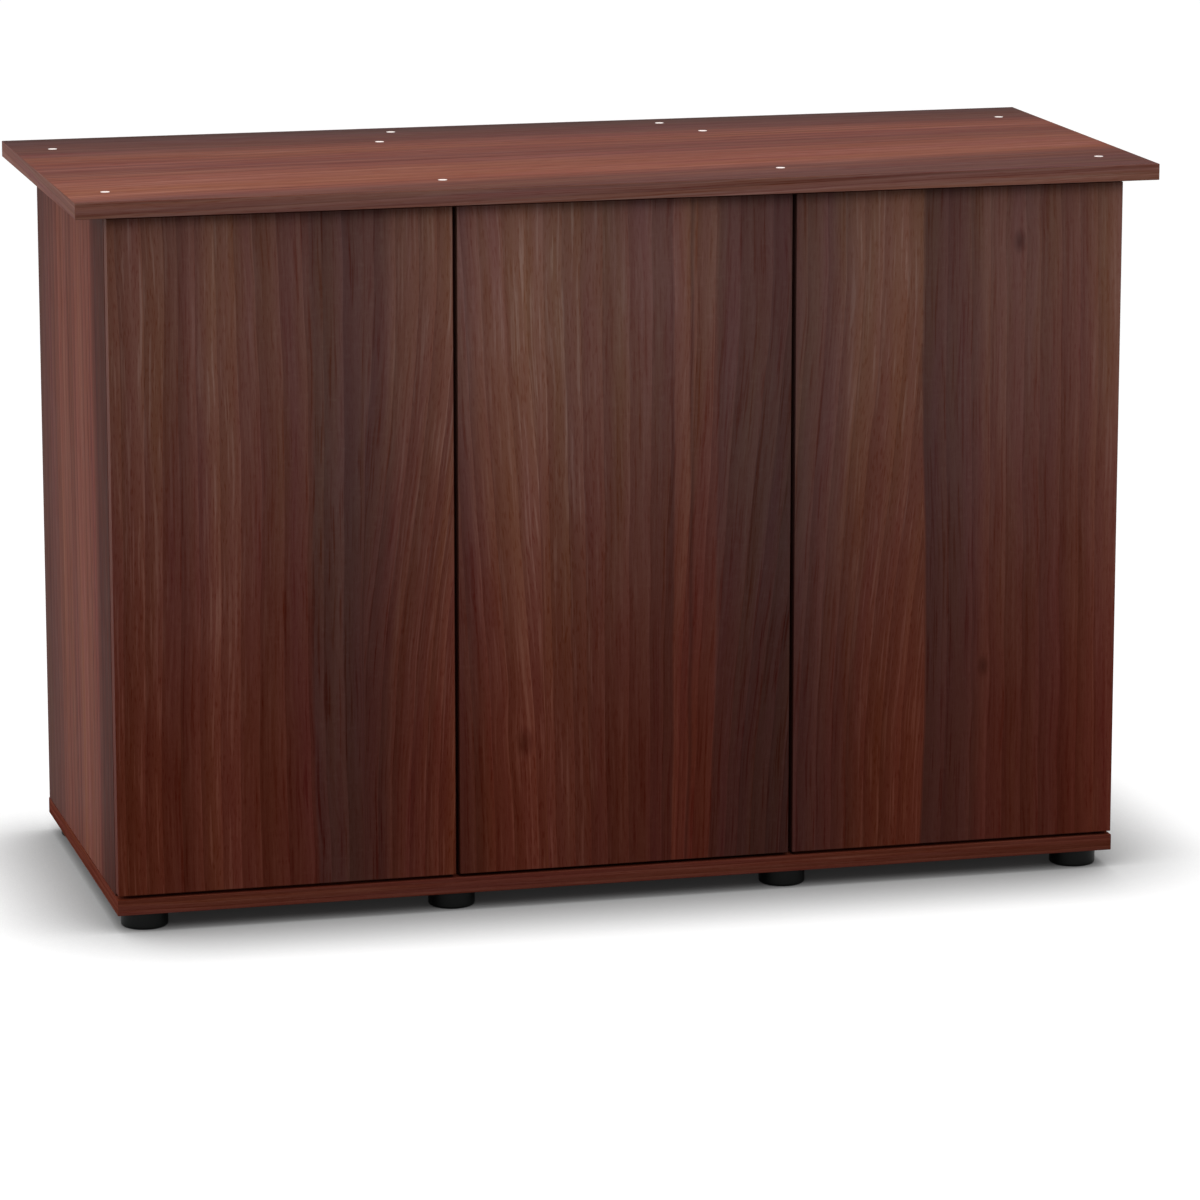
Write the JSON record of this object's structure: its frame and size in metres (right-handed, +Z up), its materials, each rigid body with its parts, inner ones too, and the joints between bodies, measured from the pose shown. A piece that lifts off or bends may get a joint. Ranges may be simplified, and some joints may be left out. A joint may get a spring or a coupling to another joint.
{
  "type": "aquarium cabinet",
  "caption": "Low wide aquarium cabinet in dark walnut-decor board with an overhanging top, handleless overlay doors on concealed hinges, push latches and round levelling feet.",
  "frame": {"origin": "on the floor under the middle of the top panel", "axes": "+X to the right seen from the front, +Y to the back, +Z up"},
  "size_m": [1.21, 0.51, 0.805],
  "materials": {
    "board": "walnut-decor melamine, satin",
    "door_board": "walnut-decor melamine, satin, upright grain",
    "zinc_screw": "bright zinc plated steel",
    "hinge_steel": "nickel plated steel",
    "beech": "raw fluted beech",
    "grey_plastic": "moulded, fine grain",
    "black_plastic": "moulded, slight sheen"
  },
  "bodies": {
    "carcass": {"top_panel": "board", "base_panel": "board", "left_side": "board", "right_side": "board", "left_partition": "board", "right_partition": "board", "back_panel": "board", "top_screws": "zinc_screw", "base_screws": "zinc_screw", "back_screws": "zinc_screw", "dowels": "beech", "foot_sockets": "grey_plastic", "hinge_plate_screws": "hinge_steel", "hinge_arm_screws": "hinge_steel", "latch_housings": "grey_plastic", "latch_screws": "zinc_screw", "left_hinge_arms": "hinge_steel", "left_arm_pins": "hinge_steel", "left_hinge_plates": "hinge_steel", "middle_hinge_arms": "hinge_steel", "middle_arm_pins": "hinge_steel", "middle_hinge_plates": "hinge_steel", "right_hinge_arms": "hinge_steel", "right_arm_pins": "hinge_steel", "right_hinge_plates": "hinge_steel"},
    "left_outer_links": {"left_outer_links": "hinge_steel"},
    "left_door": {"left_door": "door_board", "left_hinge_cups": "hinge_steel", "left_cup_pins": "hinge_steel", "left_cup_screws": "hinge_steel", "left_strike_plate": "hinge_steel"},
    "left_inner_links": {"left_inner_links": "hinge_steel"},
    "left_plunger": {"left_plunger": "grey_plastic"},
    "middle_outer_links": {"middle_outer_links": "hinge_steel"},
    "middle_door": {"middle_door": "door_board", "middle_hinge_cups": "hinge_steel", "middle_cup_pins": "hinge_steel", "middle_cup_screws": "hinge_steel", "middle_strike_plate": "hinge_steel"},
    "middle_inner_links": {"middle_inner_links": "hinge_steel"},
    "middle_plunger": {"middle_plunger": "grey_plastic"},
    "right_outer_links": {"right_outer_links": "hinge_steel"},
    "right_door": {"right_door": "door_board", "right_hinge_cups": "hinge_steel", "right_cup_pins": "hinge_steel", "right_cup_screws": "hinge_steel", "right_strike_plate": "hinge_steel"},
    "right_inner_links": {"right_inner_links": "hinge_steel"},
    "right_plunger": {"right_plunger": "grey_plastic"},
    "front_left_foot": {"front_left_foot": "black_plastic"},
    "front_inner_left_foot": {"front_inner_left_foot": "black_plastic"},
    "front_inner_right_foot": {"front_inner_right_foot": "black_plastic"},
    "front_right_foot": {"front_right_foot": "black_plastic"},
    "rear_left_foot": {"rear_left_foot": "black_plastic"},
    "rear_inner_left_foot": {"rear_inner_left_foot": "black_plastic"},
    "rear_inner_right_foot": {"rear_inner_right_foot": "black_plastic"},
    "rear_right_foot": {"rear_right_foot": "black_plastic"}
  },
  "joints": [
    {"name": "left_outer_link_turn", "type": "hinge", "parent": "carcass", "child": "left_outer_links", "pos_m": [-0.5335, -0.203, 0.4025], "axis": [0, 0, -1], "range_deg": [-27.6, 0]},
    {"name": "left_door_swing", "type": "hinge", "parent": "left_outer_links", "child": "left_door", "pos_m": [-0.5585, -0.22195, 0.4025], "axis": [0, 0, -1], "range_deg": [0, 122.55]},
    {"name": "left_inner_link_turn", "type": "hinge", "parent": "left_door", "child": "left_inner_links", "pos_m": [-0.5558, -0.22555, 0.4025], "axis": [0, 0, -1], "range_deg": [-113.77, 0]},
    {"name": "left_plunger_slide", "type": "slide", "parent": "carcass", "child": "left_plunger", "axis": [0, -1, 0], "range_m": [0, 0.0121]},
    {"name": "middle_outer_link_turn", "type": "hinge", "parent": "carcass", "child": "middle_outer_links", "pos_m": [-0.1525, -0.203, 0.4025], "axis": [0, 0, -1], "range_deg": [-27.6, 0]},
    {"name": "middle_door_swing", "type": "hinge", "parent": "middle_outer_links", "child": "middle_door", "pos_m": [-0.1775, -0.22195, 0.4025], "axis": [0, 0, -1], "range_deg": [0, 122.55]},
    {"name": "middle_inner_link_turn", "type": "hinge", "parent": "middle_door", "child": "middle_inner_links", "pos_m": [-0.1748, -0.22555, 0.4025], "axis": [0, 0, -1], "range_deg": [-113.77, 0]},
    {"name": "middle_plunger_slide", "type": "slide", "parent": "carcass", "child": "middle_plunger", "axis": [0, -1, 0], "range_m": [0, 0.0121]},
    {"name": "right_outer_link_turn", "type": "hinge", "parent": "carcass", "child": "right_outer_links", "pos_m": [0.5335, -0.203, 0.4025], "axis": [0, 0, 1], "range_deg": [-27.6, 0]},
    {"name": "right_door_swing", "type": "hinge", "parent": "right_outer_links", "child": "right_door", "pos_m": [0.5585, -0.22195, 0.4025], "axis": [0, 0, 1], "range_deg": [0, 122.55]},
    {"name": "right_inner_link_turn", "type": "hinge", "parent": "right_door", "child": "right_inner_links", "pos_m": [0.5558, -0.22555, 0.4025], "axis": [0, 0, 1], "range_deg": [-113.77, 0]},
    {"name": "right_plunger_slide", "type": "slide", "parent": "carcass", "child": "right_plunger", "axis": [0, -1, 0], "range_m": [0, 0.0121]},
    {"name": "front_left_foot_screw", "type": "slide", "parent": "carcass", "child": "front_left_foot", "axis": [0, 0, -1], "range_m": [0, 0.008]},
    {"name": "front_inner_left_foot_screw", "type": "slide", "parent": "carcass", "child": "front_inner_left_foot", "axis": [0, 0, -1], "range_m": [0, 0.008]},
    {"name": "front_inner_right_foot_screw", "type": "slide", "parent": "carcass", "child": "front_inner_right_foot", "axis": [0, 0, -1], "range_m": [0, 0.008]},
    {"name": "front_right_foot_screw", "type": "slide", "parent": "carcass", "child": "front_right_foot", "axis": [0, 0, -1], "range_m": [0, 0.008]},
    {"name": "rear_left_foot_screw", "type": "slide", "parent": "carcass", "child": "rear_left_foot", "axis": [0, 0, -1], "range_m": [0, 0.008]},
    {"name": "rear_inner_left_foot_screw", "type": "slide", "parent": "carcass", "child": "rear_inner_left_foot", "axis": [0, 0, -1], "range_m": [0, 0.008]},
    {"name": "rear_inner_right_foot_screw", "type": "slide", "parent": "carcass", "child": "rear_inner_right_foot", "axis": [0, 0, -1], "range_m": [0, 0.008]},
    {"name": "rear_right_foot_screw", "type": "slide", "parent": "carcass", "child": "rear_right_foot", "axis": [0, 0, -1], "range_m": [0, 0.008]}
  ],
  "couplings": [
    {"joint": "left_outer_link_turn", "follows": "left_door_swing", "ratio": -0.22481},
    {"joint": "left_inner_link_turn", "follows": "left_door_swing", "ratio": -0.92791},
    {"joint": "left_plunger_slide", "follows": "left_door_swing", "m_per_rad": 0.0056104},
    {"joint": "middle_outer_link_turn", "follows": "middle_door_swing", "ratio": -0.22481},
    {"joint": "middle_inner_link_turn", "follows": "middle_door_swing", "ratio": -0.92791},
    {"joint": "middle_plunger_slide", "follows": "middle_door_swing", "m_per_rad": 0.0056104},
    {"joint": "right_outer_link_turn", "follows": "right_door_swing", "ratio": -0.22481},
    {"joint": "right_inner_link_turn", "follows": "right_door_swing", "ratio": -0.92791},
    {"joint": "right_plunger_slide", "follows": "right_door_swing", "m_per_rad": 0.0056104}
  ]
}
